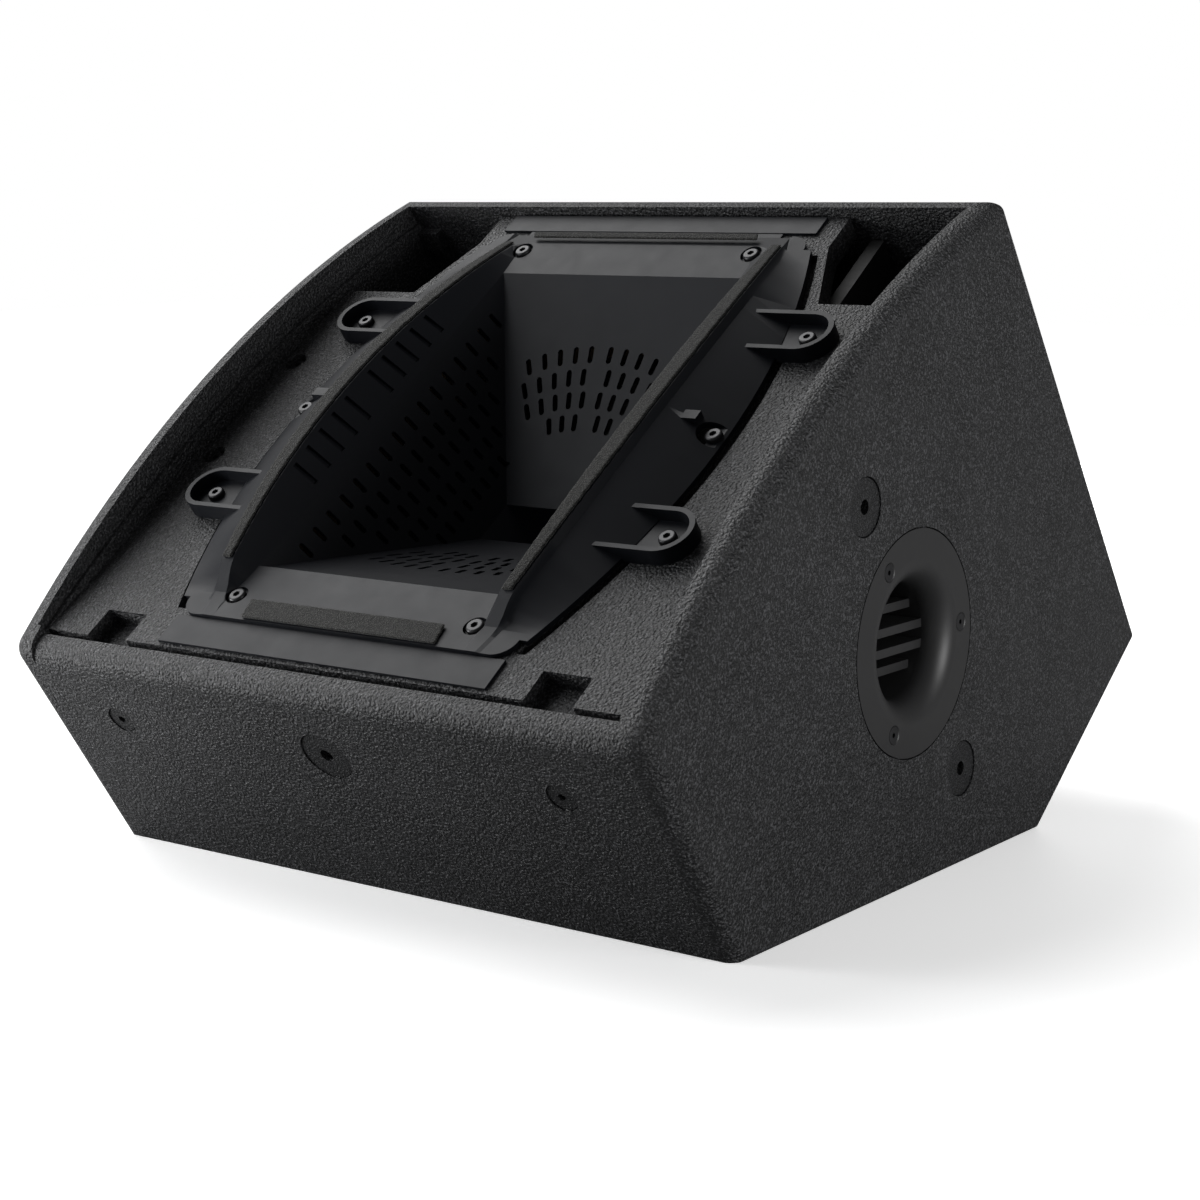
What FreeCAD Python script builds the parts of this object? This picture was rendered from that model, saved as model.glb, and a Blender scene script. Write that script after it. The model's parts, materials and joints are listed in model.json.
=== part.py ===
"""Low-profile stage monitor loudspeaker: a plywood wedge cabinet with a coaxial driver behind a horn.

Units are millimetres.  The finished part stands on Z = 0 with +Z up, -Y towards the listener and +X to
the right as seen from the front.  The origin is the centre of the box around the part, on the floor.

Two working frames are used.  The side profile is drawn in (Y, Z).  Everything that follows the sloping
front is drawn in the face frame: x across, u up the slope from the lower rim, and n out of the front.
on_face() turns a face-frame shape into the cabinet frame.
"""
import FreeCAD, Part
import math
import os

V = FreeCAD.Vector
os.makedirs("parts", exist_ok=True)

# ---------------------------------------------------------------- cabinet
WIDTH = 456.0                 # overall width
PLY = 15.0                    # thickness of the panels between the sides
SIDE_PLY = 18.0
SIDE_REBATE = 3.0             # step for the grille along the inside of each side's rim
LIP = 12.0                    # width of the lower rim, in front of the baffle
HALF = WIDTH / 2
INNER = HALF - SIDE_PLY       # half the inside width
FRONT_BOTTOM = (-3.6, 0.0)    # profile corners as (Y, Z)
REAR_BOTTOM = (346.9, 0.0)
REAR_TOP = (484.8, 103.4)
FRONT_TOP = (273.4, 393.0)
FRONT_LOW = (-91.8, 131.6)
FACE_LOW = (-86.4, 132.7)     # ends of the face frame's u axis
FACE_TOP = (276.3, 389.4)
CROWN_N = 32.7                # how far the front edges of the sides bow out at their middle
RIM_CORNER_R = 12.0           # profile rounding at both ends of the front edge
FRONT_EDGE_R = 11.5           # soft outer edges of the sides, along the front arc and the kick
EDGE_R = 2.4                  # all other outer edges
FOOT_CORNER_R = 3.0

# ---------------------------------------------------------------- front, in the face frame
BAFFLE_FACE = 1.5             # n of the baffle's front face
BAFFLE_T = 15.0
BAFFLE_BACK = BAFFLE_FACE - BAFFLE_T
BAFFLE_LOW = 14.6             # u of the baffle's lower edge
KICK_TOP = 2.0                # n of the kick panel's upper edge, level with the baffle
BAFFLE_TOP = 428.6
PORT_LOW = 343.5              # u where the two reflex ports begin
PORT_INNER_X = 153.0
DRIVER_U = 222.0              # u of the driver axis

# ---------------------------------------------------------------- horn
HORN_WALL = 3.2
BODY_HALF_U = 182.5           # half the height of the raised horn body
BODY_MID_U = 221.5
BODY_MID_X = 158.0            # half width of the body at its middle
BODY_END_X = 120.0            # and at its ends
CREST_U = 208.0               # highest point of the side rails
CREST_N = 26.4
CREST_R = 845.0
MOUTH_HALF_X = 90.0           # inner edge of the mouth, where the straight walls start
MOUTH_LOW_U = 81.0
MOUTH_TOP_U = 363.0
MOUTH_N = 4.0
THROAT_HALF_X = 46.4          # end of the straight walls
THROAT_HALF_U = 16.0
THROAT_N = -80.0
NECK_N = -118.0               # end of the round neck
NECK_R = 18.0                 # 36 mm throat
PLATE_HALF_X = 119.0          # flat plates above and below the body
STRIP_T = 1.6                 # foam gasket thickness

# ---------------------------------------------------------------- woofer, nominal 12 inch
SPACER_OUT_R = 172.0
SPACER_IN_R = 152.0
SPACER_T = 34.0
CARRIER_T = 12.0
CARRIER_IN_R = 142.0
BASKET_R = 157.5
BOLT_PCD = 304.0
WOOFER_BOLTS = 8
COIL_R = 38.0                 # 75 mm voice coil
POLE_BORE_R = 23.4            # hole through the pole piece for the horn throat

# ---------------------------------------------------------------- handles and inserts
HANDLE_U = 224.2
HANDLE_N = -146.5
HANDLE_R = 66.0
HANDLE_GRIP_R = 34.0
HANDLE_SCREW_R = 54.5
INSERT_SPACING = 103.0        # rigging points above and below the handle
M10_MINOR_R = 4.25
M10_DISC_R = 16.2
SMALL_DISC_R = 8.8
M6_MINOR_R = 2.5
DISC_T = 2.5                  # thickness of the inserts' plates
DISC_SUNK = 0.7               # how far they sit below the surface
KICK_POINT_RISE = 110.3       # from the floor edge up the kick panel
KICK_POINT_X = 161.0

FACE_ANGLE = math.degrees(math.atan2(FACE_TOP[1] - FACE_LOW[1], FACE_TOP[0] - FACE_LOW[0]))
FACE_LENGTH = math.dist(FACE_TOP, FACE_LOW)


# ---------------------------------------------------------------- helpers
def profile_point(point, x=0.0):
    return V(x, point[0], point[1])


def extrude_yz(points, x0, x1):
    """Solid from a closed (Y, Z) outline, between two x planes."""
    wire = Part.makePolygon([V(x0, y, z) for y, z in points] + [V(x0, points[0][0], points[0][1])])
    return Part.Face(wire).extrude(V(x1 - x0, 0, 0))


def panel_slab(start, end, thickness, x0, x1):
    """The layer of given thickness just inside the profile line start-end, well past both ends."""
    dy = end[0] - start[0]
    dz = end[1] - start[1]
    length = math.hypot(dy, dz)
    dy /= length
    dz /= length
    inward = (-dz, dy)
    over = 400.0
    a = (start[0] - dy * over, start[1] - dz * over)
    b = (end[0] + dy * over, end[1] + dz * over)
    c = (b[0] + inward[0] * thickness, b[1] + inward[1] * thickness)
    d = (a[0] + inward[0] * thickness, a[1] + inward[1] * thickness)
    return extrude_yz([a, b, c, d], x0, x1)


def box(x0, x1, u0, u1, n0, n1):
    return Part.makeBox(x1 - x0, u1 - u0, n1 - n0, V(x0, u0, n0))


def rod(x, u, n0, n1, radius):
    """Round bar along n in the face frame."""
    return Part.makeCylinder(radius, n1 - n0, V(x, u, n0))


def ring(x, u, n0, n1, outer, inner):
    return rod(x, u, n0, n1, outer).cut(rod(x, u, n0 - 1, n1 + 1, inner))


def turned(outline, x=0.0, u=DRIVER_U):
    """Solid of revolution about the line x, u in the face frame; outline is (radius, n) points."""
    wire = Part.makePolygon([V(x + r, u, n) for r, n in outline] + [V(x + outline[0][0], u, outline[0][1])])
    return Part.Face(wire).revolve(V(x, u, 0), V(0, 0, 1), 360)


def prism_un(points, x0, x1):
    """Solid from a closed (u, n) outline, between two x planes of the face frame."""
    return extrude_yz(points, x0, x1)


def prism_xu(points, n0, n1):
    wire = Part.makePolygon([V(x, u, n0) for x, u in points] + [V(points[0][0], points[0][1], n0)])
    return Part.Face(wire).extrude(V(0, 0, n1 - n0))


def fused(shapes):
    result = shapes[0]
    if len(shapes) > 1:
        result = result.fuse(shapes[1:])
    return result.removeSplitter()


def hex_socket_screw(x, u, under_head, head_r, head_h, shank_r, shank_l, socket_r):
    """Button-head screw standing along n, head outwards."""
    head = rod(x, u, under_head, under_head + head_h, head_r)
    rim = max(head.Edges, key=lambda e: e.CenterOfMass.z)
    head = head.makeFillet(head_h * 0.45, [rim])
    head = head.cut(hex_bar(x, u, under_head + head_h * 0.35, under_head + head_h * 1.4, socket_r))
    return head.fuse(rod(x, u, under_head - shank_l, under_head, shank_r)).removeSplitter()


def hex_bar(x, u, n0, n1, radius):
    sixth = math.pi / 3
    corners = [V(x + radius * math.cos(k * sixth), u + radius * math.sin(k * sixth), n0) for k in range(7)]
    return Part.Face(Part.makePolygon(corners)).extrude(V(0, 0, n1 - n0))


def mirrored_x(shape):
    return shape.mirror(V(0, 0, 0), V(1, 0, 0))


def arc_edge_points(first, middle, last):
    return Part.Arc(first, middle, last).toShape()


# ---------------------------------------------------------------- profile and placement
FACE_ROTATION = FreeCAD.Rotation(V(1, 0, 0), FACE_ANGLE)
FACE_PLACEMENT = FreeCAD.Placement(profile_point(FACE_LOW), FACE_ROTATION)


def face_to_profile(u, n):
    p = FACE_PLACEMENT.multVec(V(0, u, n))
    return (p.y, p.z)


def edges_at(block, corners):
    """Edges of the block that run along x through any of the given profile corners."""
    found = []
    for edge in block.Edges:
        centre = edge.CenterOfMass
        if edge.BoundBox.YLength > 0.01 or edge.BoundBox.ZLength > 0.01:
            continue
        if any(math.hypot(centre.y - y, centre.z - z) < 0.1 for y, z in corners):
            found.append(edge)
    return found


def sharp_block(x0, x1):
    """The whole profile with its front arc as a solid, all corners sharp."""
    corners = [FRONT_BOTTOM, REAR_BOTTOM, REAR_TOP, FRONT_TOP]
    edges = []
    for k in range(3):
        edges.append(Part.makeLine(profile_point(corners[k], x0), profile_point(corners[k + 1], x0)))
    crown = face_to_profile(FACE_LENGTH / 2, CROWN_N)
    edges.append(arc_edge_points(profile_point(FRONT_TOP, x0), profile_point(crown, x0),
                                 profile_point(FRONT_LOW, x0)))
    edges.append(Part.makeLine(profile_point(FRONT_LOW, x0), profile_point(FRONT_BOTTOM, x0)))
    return Part.Face(Part.Wire(edges)).extrude(V(x1 - x0, 0, 0))


def cabinet_block(x0, x1):
    """The profile as a solid with its corners rounded."""
    block = sharp_block(x0, x1)
    block = block.makeFillet(RIM_CORNER_R, edges_at(block, (FRONT_LOW, FRONT_TOP)))
    return block.makeFillet(FOOT_CORNER_R, edges_at(block, (FRONT_BOTTOM, REAR_BOTTOM, REAR_TOP)))


def outline_edges(block, x):
    """Edges of a profile block that lie in its end plane x."""
    return [e for e in block.Edges if abs(e.BoundBox.XMin - x) < 0.01 and abs(e.BoundBox.XMax - x) < 0.01]


def shift_to_origin():
    """Y shift that puts the middle of the profile over the origin."""
    bounds = cabinet_block(0, 10).optimalBoundingBox(False, False)
    return -(bounds.YMin + bounds.YMax) / 2


SHIFT_Y = shift_to_origin()


def on_face(shape):
    placed = shape.copy()
    placed.Placement = FACE_PLACEMENT.multiply(placed.Placement)
    placed.translate(V(0, SHIFT_Y, 0))
    return placed


def on_profile(shape):
    placed = shape.copy()
    placed.translate(V(0, SHIFT_Y, 0))
    return placed


def to_profile(shape):
    """Face frame to profile frame, without the final shift, for cutting panels."""
    placed = shape.copy()
    placed.Placement = FACE_PLACEMENT.multiply(placed.Placement)
    return placed


WRITTEN = []


def write(node, shape):
    shape.exportStep("parts/" + node + ".step")
    WRITTEN.append((node, len(shape.Solids), shape.isValid(), round(shape.Volume / 1000, 2)))


def write_group(node, shapes):
    write(node, Part.makeCompound(shapes))


# ---------------------------------------------------------------- cabinet panels
def handle_hole_cutters(side):
    """Recess for the handle flange and its through hole, and the holes of the M10 inserts, for one side."""
    face = side * HALF
    inward = -side

    def along_x(radius, depth, u, n):
        return Part.makeCylinder(radius, depth + 1, V(face - inward, u, n), V(inward, 0, 0))

    cutters = [along_x(HANDLE_R + 0.9, 3.2, HANDLE_U, HANDLE_N),
                along_x(48.5, SIDE_PLY + 2, HANDLE_U, HANDLE_N)]
    for n in (HANDLE_N - INSERT_SPACING, HANDLE_N + INSERT_SPACING):
        cutters.append(along_x(M10_DISC_R + 0.7, DISC_T + DISC_SUNK, HANDLE_U, n))
        cutters.append(along_x(7.2, SIDE_PLY + 2, HANDLE_U, n))
    for x, u, n in handle_screw_places(side):
        cutters.append(along_x(1.7, SIDE_PLY + 2, u, n))
    return [to_profile(c) for c in cutters]


def handle_screw_places(side):
    places = []
    for angle in (90, 210, 330):
        du = HANDLE_SCREW_R * math.cos(math.radians(angle))
        dn = HANDLE_SCREW_R * math.sin(math.radians(angle))
        places.append((side * HALF, HANDLE_U + du, HANDLE_N + dn))
    return places


def side_panel(side):
    outer = side * HALF
    inner = side * INNER
    low, high = sorted((outer, inner))
    eased = cabinet_block(low, high)
    eased = eased.makeFillet(EDGE_R, outline_edges(eased, outer))
    soft = sharp_block(low, high)
    soft = soft.makeFillet(RIM_CORNER_R, edges_at(soft, (FRONT_LOW,)))
    front = []
    for edge in outline_edges(soft, outer):
        centre = edge.CenterOfMass
        in_kick = centre.y < 0 and centre.z > 1.0
        in_arc = edge.Length > 100.0 and centre.z > FACE_LOW[1] and centre.y < FACE_TOP[0] / 2
        if in_kick or in_arc:
            front.append(edge)
    panel = eased.common(soft.makeFillet(FRONT_EDGE_R, front))
    # grille rebate: the inner step is lower than the rim, along an arc
    left, right = sorted((inner, side * (INNER + SIDE_REBATE)))
    low_end = V(left, LIP, 1.0)
    mid = V(left, 205.0, 15.5)
    top_end = V(left, 429.0, -6.0)
    edges = [arc_edge_points(low_end, mid, top_end),
             Part.makeLine(top_end, V(left, 429.0, 60)),
             Part.makeLine(V(left, 429.0, 60), V(left, LIP, 60)),
             Part.makeLine(V(left, LIP, 60), low_end)]
    rebate = Part.Face(Part.Wire(edges)).extrude(V(right - left, 0, 0))
    return panel.cut([to_profile(rebate)] + handle_hole_cutters(side))


def kick_point(x, depth=0.0):
    """Point on the kick panel's outer face, depth below the surface, in profile coordinates."""
    foot = profile_point(FRONT_BOTTOM, x)
    up = (profile_point(FRONT_LOW, x) - foot).normalize()
    return foot + up * KICK_POINT_RISE - kick_normal() * depth


def kick_normal():
    up = (profile_point(FRONT_LOW) - profile_point(FRONT_BOTTOM)).normalize()
    return V(0, -up.z, up.y)


def kick_corner():
    """Profile point where the kick panel's outer face meets its flat upper edge."""
    foot = profile_point(FRONT_BOTTOM)
    up = (profile_point(FRONT_LOW) - foot).normalize()
    out = V(0, -math.sin(math.radians(FACE_ANGLE)), math.cos(math.radians(FACE_ANGLE)))
    top = FACE_PLACEMENT.multVec(V(0, 0, KICK_TOP))
    corner = foot + up * ((top - foot).dot(out) / up.dot(out))
    return (corner.y, corner.z)


def kick_panel():
    panel = sharp_block(-INNER, INNER).common(panel_slab(FRONT_LOW, FRONT_BOTTOM, PLY, -INNER, INNER))
    panel = panel.cut(to_profile(box(-INNER - 1, INNER + 1, -60, 60, KICK_TOP, 80)))
    panel = panel.makeFillet(RIM_CORNER_R, edges_at(panel, (kick_corner(),)))
    panel = panel.makeFillet(FOOT_CORNER_R, edges_at(panel, (FRONT_BOTTOM,)))
    rebate = to_profile(box(-INNER - 1, INNER + 1, LIP, 60, BAFFLE_BACK, 60))
    inward = kick_normal() * -1
    cutters = [rebate]
    small = [(side * KICK_POINT_X, SMALL_DISC_R, 4.6) for side in (-1, 1)]
    for x, disc, hole in [(0, M10_DISC_R, 7.2)] + small:
        cutters.append(Part.makeCylinder(disc + 0.6, DISC_T + DISC_SUNK + 1, kick_point(x, -1), inward))
        cutters.append(Part.makeCylinder(hole, PLY + 4, kick_point(x, -1), inward))
    return panel.cut(cutters)


REAR_PLATE = (120.0, 84.0)    # connector panel, across and up the rear panel
REAR_HOLE = (104.0, 68.0)


def rear_frame(x, up, out):
    """Point measured from the middle of the rear panel: x across, up along it, out of it."""
    dy = REAR_TOP[0] - REAR_BOTTOM[0]
    dz = REAR_TOP[1] - REAR_BOTTOM[1]
    length = math.hypot(dy, dz)
    dy /= length
    dz /= length
    mid = (REAR_BOTTOM[0] + dy * length / 2, REAR_BOTTOM[1] + dz * length / 2)
    return V(x, mid[0] + dy * up + dz * out, mid[1] + dz * up - dy * out)


REAR_UP = (rear_frame(0, 1, 0) - rear_frame(0, 0, 0))
REAR_OUT = (rear_frame(0, 0, 1) - rear_frame(0, 0, 0))


def rear_box(x0, x1, up0, up1, out0, out1):
    corners = [rear_frame(x0, up0, out0), rear_frame(x0, up1, out0), rear_frame(x0, up1, out1),
               rear_frame(x0, up0, out1)]
    wire = Part.makePolygon(corners + [corners[0]])
    return Part.Face(wire).extrude(V(x1 - x0, 0, 0))


def rear_rod(x, up, out0, out1, radius):
    return Part.makeCylinder(radius, out1 - out0, rear_frame(x, up, out0), REAR_OUT)


def rear_panel():
    block = cabinet_block(-INNER, INNER)
    panel = block.common(panel_slab(REAR_BOTTOM, REAR_TOP, PLY, -INNER, INNER))
    half_x, half_up = REAR_HOLE[0] / 2, REAR_HOLE[1] / 2
    hole = rear_box(-half_x, half_x, -half_up, half_up, -PLY - 5, 5)
    plate_x, plate_up = REAR_PLATE[0] / 2 + 0.5, REAR_PLATE[1] / 2 + 0.5
    recess = rear_box(-plate_x, plate_x, -plate_up, plate_up, -3.0, 5)
    pilots = [rear_rod(x, up, -13, 1, 1.6) for x, up in plate_screw_places()]
    return panel.cut([hole, recess] + pilots)


def bottom_panel():
    block = cabinet_block(-INNER, INNER)
    panel = block.common(panel_slab(FRONT_BOTTOM, REAR_BOTTOM, PLY, -INNER, INNER))
    return panel.cut([panel_slab(FRONT_LOW, FRONT_BOTTOM, PLY, -INNER, INNER),
                      panel_slab(REAR_BOTTOM, REAR_TOP, PLY, -INNER, INNER)])


def top_panel():
    block = cabinet_block(-INNER, INNER)
    panel = block.common(panel_slab(REAR_TOP, FRONT_TOP, PLY, -INNER, INNER))
    return panel.cut(panel_slab(REAR_BOTTOM, REAR_TOP, PLY, -INNER, INNER))


WOOD_SCREW_R = 2.5
POCKET_X = (144.5, 176.0)
POCKET_TOP_U = 36.0
FIX_SCREWS = [(side * 201.0, u) for side in (-1, 1) for u in (175.0, 268.0)]
LUGS = [(side * 166.0, u) for side in (-1, 1) for u in (136.5, 306.5)]
MOUTH_SCREWS = [(side * 87.0, u) for side in (-1, 1) for u in (57.4, 384.5)]
MID_SCREWS = [(side * 151.5, 217.5) for side in (-1, 1)]


GROOVE_W = 4.2                # shadow groove in the baffle beside the horn body
GROOVE_DEPTH = 5.0


def body_grooves():
    """Cutters for the groove that follows each long side of the horn body."""
    grooves = []
    stations = [v for v in BODY_STATIONS if 44 < v < 392]
    for side in (-1, 1):
        inner = [(side * (body_edge(u) - 2.0), u) for u in stations]
        outer = [(side * (body_edge(u) + GROOVE_W), u) for u in reversed(stations)]
        grooves.append(prism_xu(inner + outer, BAFFLE_FACE - GROOVE_DEPTH, BAFFLE_FACE + 1))
    return grooves


def baffle():
    board = box(-INNER + 0.2, INNER - 0.2, BAFFLE_LOW, BAFFLE_TOP, BAFFLE_BACK, BAFFLE_FACE)
    opening = rod(0, DRIVER_U, BAFFLE_BACK - 1, BAFFLE_FACE + 1, SPACER_IN_R)
    mouth = box(-98, 98, MOUTH_LOW_U - 8, MOUTH_TOP_U + 8, BAFFLE_BACK - 1, BAFFLE_FACE + 1)
    cutters = [opening, mouth]
    for side in (-1, 1):
        inner, outer = PORT_INNER_X, INNER + 1
        neck = BODY_END_X + 13
        outline = [(side * inner, PORT_LOW), (side * outer, PORT_LOW), (side * outer, BAFFLE_TOP + 1),
                   (side * neck, BAFFLE_TOP + 1), (side * neck, 398)]
        cutters.append(prism_xu(outline, BAFFLE_BACK - 1, BAFFLE_FACE + 1))
        low, high = sorted((side * POCKET_X[0], side * POCKET_X[1]))
        cutters.append(box(low, high, BAFFLE_LOW - 1, POCKET_TOP_U, BAFFLE_FACE - 11.5, BAFFLE_FACE + 1))
    for x, u in FIX_SCREWS:
        cutters.append(rod(x, u, BAFFLE_FACE - 5, BAFFLE_FACE + 1, 7.5))
        cutters.append(rod(x, u, BAFFLE_BACK - 1, BAFFLE_FACE, WOOD_SCREW_R + 0.1))
    for x, u in LUGS + MID_SCREWS + MOUTH_SCREWS:
        cutters.append(rod(x, u, BAFFLE_BACK - 1, BAFFLE_FACE + 1, 3.1))
    board = board.cut(cutters + body_grooves())
    return on_face(max(board.Solids, key=lambda s: s.Volume))


def port_wall(side):
    """L-shaped duct wall behind a reflex port: one board beside the driver, one below the port."""
    board = 9.0
    depth = 105.0
    inner = side * PORT_INNER_X
    beside = [(inner, PORT_LOW - board), (inner - side * board, PORT_LOW - board),
              (inner - side * board, 426.0), (inner, 426.0)]
    far = side * (INNER - 0.3)
    below = [(inner, PORT_LOW - board), (far, PORT_LOW - board), (far, PORT_LOW), (inner, PORT_LOW)]
    parts = [prism_xu(o, BAFFLE_BACK - depth, BAFFLE_BACK) for o in (beside, below)]
    return on_face(fused(parts))


def cleat(side):
    """Batten glued inside the side panel; the baffle is screwed to it."""
    low, high = sorted((side * INNER, side * (INNER - 18)))
    body = box(low, high, 28, PORT_LOW - 14, BAFFLE_BACK - 18, BAFFLE_BACK)
    places = [(x, u) for x, u in FIX_SCREWS if x * side > 0]
    holes = [rod(x, u, BAFFLE_BACK - 19, BAFFLE_BACK + 1, WOOD_SCREW_R + 0.1) for x, u in places]
    return on_face(body.cut(holes))


def grille_block(side):
    low, high = sorted((side * (INNER - 17), side * INNER))
    return on_face(box(low, high, 423.0, 429.0, -24.0, -10.0))


def cross_brace():
    return on_face(box(-INNER, INNER, 372, 387, -245, -195))


def bottom_pad():
    """Wadding on the floor of the box, cut away round the crossover board."""
    pad = Part.makeBox(380, 260, 13.6, V(-190, 40, PLY + 0.4))
    clear = Part.makeBox(200, 200, 40, V(BOARD[0] - 8, BOARD[2] - 8, PLY - 5))
    return on_profile(pad.cut(clear))


def rear_pads():
    pads = []
    for side in (-1, 1):
        low, high = sorted((side * 85, side * 195))
        pads.append(on_profile(rear_box(low, high, -58, 52, -PLY - 16, -PLY - 0.4)))
    return pads


# ---------------------------------------------------------------- inserts
def insert_solid(disc_r, disc_t, barrel_r, thread_r, length):
    """Flanged threaded insert with its face at z = 0 and its barrel towards -z."""
    solid = Part.makeCylinder(disc_r, disc_t, V(0, 0, -disc_t))
    solid = solid.fuse(Part.makeCylinder(barrel_r, length, V(0, 0, -length)))
    return solid.cut(Part.makeCylinder(thread_r, length + 2, V(0, 0, -length - 1))).removeSplitter()


def aimed(shape, position, direction):
    placed = shape.copy()
    placed.Placement = FreeCAD.Placement(position, FreeCAD.Rotation(V(0, 0, 1), direction))
    return placed


def rigging_inserts():
    solids = []
    for side in (-1, 1):
        for n in (HANDLE_N - INSERT_SPACING, HANDLE_N + INSERT_SPACING):
            y, z = face_to_profile(HANDLE_U, n)
            shape = insert_solid(M10_DISC_R, DISC_T, 7.0, M10_MINOR_R, 26)
            solids.append(aimed(shape, V(side * (HALF - DISC_SUNK), y, z), V(side, 0, 0)))
    shape = insert_solid(M10_DISC_R, DISC_T, 7.0, M10_MINOR_R, 26)
    solids.append(aimed(shape, kick_point(0, DISC_SUNK), kick_normal()))
    return [on_profile(s) for s in solids]


def accessory_inserts():
    shape = insert_solid(SMALL_DISC_R, DISC_T, 4.4, M6_MINOR_R, 16)
    places = [kick_point(side * KICK_POINT_X, DISC_SUNK) for side in (-1, 1)]
    return [on_profile(aimed(shape, place, kick_normal())) for place in places]


# ---------------------------------------------------------------- recessed handles
def handle(side):
    """Round flared hand hole with a closed, ribbed cup behind it, turned to face outwards."""
    depth = 62.0
    wall = 3.0
    flare = 15.0
    inner = HANDLE_GRIP_R
    outline = Part.Wire([
        Part.makeLine(V(0, 0, -depth), V(inner + wall, 0, -depth)),
        Part.makeLine(V(inner + wall, 0, -depth), V(inner + wall, 0, -16)),
        Part.makeLine(V(inner + wall, 0, -16), V(48.0, 0, -3.0)),
        Part.makeLine(V(48.0, 0, -3.0), V(HANDLE_R, 0, -3.0)),
        Part.makeLine(V(HANDLE_R, 0, -3.0), V(HANDLE_R, 0, 0)),
        Part.makeLine(V(HANDLE_R, 0, 0), V(inner + flare, 0, 0)),
        Part.Arc(V(inner + flare, 0, 0), V(inner + flare * 0.293, 0, -flare * 0.293),
                 V(inner, 0, -flare)).toShape(),
        Part.makeLine(V(inner, 0, -flare), V(inner, 0, -depth + wall)),
        Part.makeLine(V(inner, 0, -depth + wall), V(0, 0, -depth + wall)),
        Part.makeLine(V(0, 0, -depth + wall), V(0, 0, -depth))])
    cup = Part.Face(outline).revolve(V(0, 0, 0), V(0, 0, 1), 360)
    y, z = face_to_profile(HANDLE_U, HANDLE_N)
    cup = aimed(cup, V(side * HALF, y, z), V(side, 0, 0))
    bars = []
    for rise, reach in ((18, 42), (6, 47), (-6, 47), (-18, 42)):
        x_back = side * (HALF - depth + 1)
        x_front = side * (HALF - depth + reach)
        low, high = sorted((x_back, x_front))
        half_y = math.sqrt((inner + 1) ** 2 - (abs(rise) + 3) ** 2)
        bars.append(Part.makeBox(high - low, 2 * half_y, 5, V(low, y - half_y, z + rise - 2.5)))
    cup = fused([cup] + bars)
    holes = []
    for x, u, n in handle_screw_places(side):
        py, pz = face_to_profile(u, n)
        inward = V(-side, 0, 0)
        holes.append(Part.makeCylinder(2.2, 6, V(x + side, py, pz), inward))
        holes.append(Part.makeCone(6.1, 2.4, 2.8, V(x + side * 0.2, py, pz), inward))
    return on_profile(cup.cut(holes))


def countersunk_screw(head_r, head_h, shank_r, length, socket_r):
    """Countersunk screw with its flat face at z = 0."""
    screw = Part.makeCone(shank_r, head_r, head_h, V(0, 0, -head_h))
    screw = screw.fuse(Part.makeCylinder(shank_r, length, V(0, 0, -length)))
    return screw.cut(hex_bar(0, 0, -1.8, 1.2, socket_r)).removeSplitter()


def handle_screws():
    solids = []
    screw = countersunk_screw(5.0, 2.6, 1.6, 16, 1.6)
    for side in (-1, 1):
        for x, u, n in handle_screw_places(side):
            y, z = face_to_profile(u, n)
            solids.append(on_profile(aimed(screw, V(x - side * 0.3, y, z), V(side, 0, 0))))
    return solids


# ---------------------------------------------------------------- horn
def crest(u):
    """Height of the side rails, an arc along the horn."""
    return CREST_N - (u - CREST_U) ** 2 / (2 * CREST_R)


def rail_blend(u):
    """1 along the rails, falling to 0 at the lower plate."""
    t = min(1.0, max(0.0, (u - 52.0) / 24.0))
    return t * t * (3 - 2 * t)


def rail_n(u):
    return 5.5 + (crest(u) - 5.5) * rail_blend(u)


def rail_outer(u):
    return 120.0 - 17.0 * ((u - 232.0) / 175.0) ** 2


def rail_inner(u):
    return 107.5 - 12.0 * ((u - 232.0) / 175.0) ** 2


def body_edge(u):
    """Half width of the raised body, a shallow arc."""
    return BODY_MID_X - (BODY_MID_X - BODY_END_X) * ((u - BODY_MID_U) / BODY_HALF_U) ** 2


def section(u, points):
    """Ring of points in the plane u = const from (x, n) points on the right, mirrored to the left."""
    right = [V(x, u, n) for x, n in points]
    left = [V(-x, u, n) for x, n in reversed(points)]
    return right + left


def skin(rings):
    """Solid with straight sides through rings of as many points; a twisted side becomes two triangles."""
    faces = [Part.Face(Part.makePolygon(ring_ + [ring_[0]])) for ring_ in (rings[0], rings[-1])]
    count = len(rings[0])
    for near, far in zip(rings, rings[1:]):
        for k in range(count):
            a, b = near[k], near[(k + 1) % count]
            c, d = far[(k + 1) % count], far[k]
            normal = (b - a).cross(d - a)
            normal.normalize()
            if abs(normal.dot(c - a)) < 1e-6:
                outlines = [(a, b, c, d)]
            elif a.x + b.x > 0:
                outlines = [(a, b, c), (a, c, d)]
            else:
                outlines = [(a, b, d), (b, c, d)]
            for outline in outlines:
                faces.append(Part.Face(Part.makePolygon(list(outline) + [outline[0]])))
    solid = Part.Solid(Part.Shell(faces))
    if solid.Volume < 0:
        solid.reverse()
    return solid.removeSplitter()


def faceted(value, u):
    """A function of u as the straight-sided body follows it, between stations."""
    for first, last in zip(BODY_STATIONS, BODY_STATIONS[1:]):
        if first <= u <= last:
            share = (u - first) / (last - first)
            return value(first) * (1 - share) + value(last) * share
    return value(u)


LOWER_STATIONS = (39.0, 45.0, 51.0, 57.0, 63.0, 69.0, 76.0, 83.0)
BODY_STATIONS = LOWER_STATIONS + tuple(97.0 + 14.0 * k for k in range(21)) + (390.0, 404.0)
MOUTH_STATIONS = (36.0,) + BODY_STATIONS[1:-1] + (406.0,)


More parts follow.
